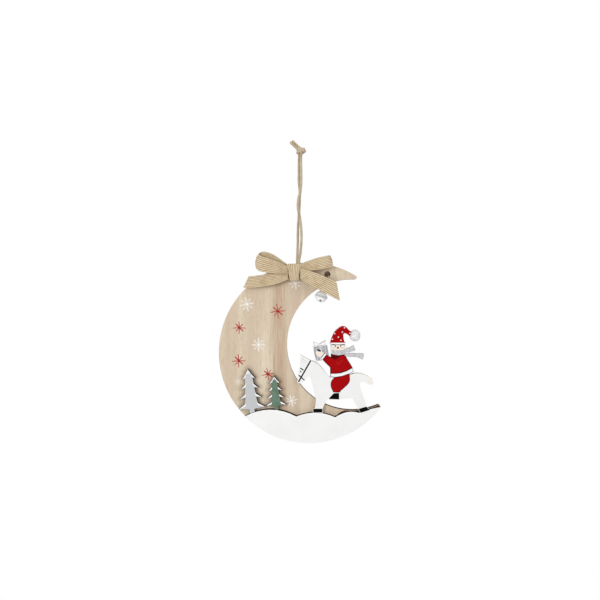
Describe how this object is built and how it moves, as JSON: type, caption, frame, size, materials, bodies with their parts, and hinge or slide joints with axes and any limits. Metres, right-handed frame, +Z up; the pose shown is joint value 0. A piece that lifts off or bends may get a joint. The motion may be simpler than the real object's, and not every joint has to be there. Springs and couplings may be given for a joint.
{
  "type": "hanging moon ornament",
  "caption": "Crescent moon ornament of thin wood with a snow scene cut-out, jute bow, twine hanger and a small swinging jingle bell.",
  "frame": {"origin": "hanging point between the two cord strands, just under the hanger's knot", "axes": "+Z up along the hanging cord, +X to the right seen from the front, the front faces -Y"},
  "size_m": [0.1453, 0.0218, 0.2724],
  "materials": {
    "bare_wood": "bare sanded light wood",
    "white_paint": "matte white paint on laser-cut board",
    "silver_paint": "satin silver grey paint",
    "green_paint": "matte green paint",
    "printed_wood": "printed and painted board",
    "wool": "fluffy white yarn",
    "jute_ribbon": "ribbed natural jute",
    "jute_twine": "twisted natural jute",
    "bell_enamel": "glossy white paint",
    "bell_steel": "plated wire and ball"
  },
  "bodies": {
    "hanger": {"hanging_cord_front": "jute_twine", "hanging_cord_back": "jute_twine", "hanger_knot": "jute_twine"},
    "moon": {"crescent_board": "bare_wood", "snow_bank": "white_paint", "silver_tree": "silver_paint", "green_tree": "green_paint", "horse_and_rider": "printed_wood", "pompom": "wool", "bow_left_loop": "jute_ribbon", "bow_right_loop": "jute_ribbon", "bow_left_tail": "jute_ribbon", "bow_right_tail": "jute_ribbon", "bow_wrap": "jute_ribbon"},
    "bell_loop": {"bell_thread": "jute_twine", "bell_thread_knot": "jute_twine"},
    "bell": {"bell_upper_shell": "bell_enamel", "bell_lower_shell": "bell_enamel", "bell_eye": "bell_steel"},
    "clapper": {"bell_clapper": "bell_steel"}
  },
  "joints": [
    {"name": "moon_swing", "type": "hinge", "parent": "hanger", "child": "moon", "pos_m": [-0.002, 0, -0.1026], "axis": [0, 1, 0], "range_deg": [-25, 25]},
    {"name": "bell_loop_swing", "type": "hinge", "parent": "moon", "child": "bell_loop", "pos_m": [0.02445, 0, -0.10644], "axis": [0, 1, 0], "range_deg": [-45, 2]},
    {"name": "bell_sway", "type": "hinge", "parent": "bell_loop", "child": "bell", "pos_m": [0.02095, 0, -0.11951], "axis": [0.9659, 0, -0.2588], "range_deg": [-8, 25]},
    {"name": "clapper_rattle", "type": "slide", "parent": "bell", "child": "clapper", "axis": [0.2588, 0, 0.9659], "range_m": [0, 0.006]}
  ]
}
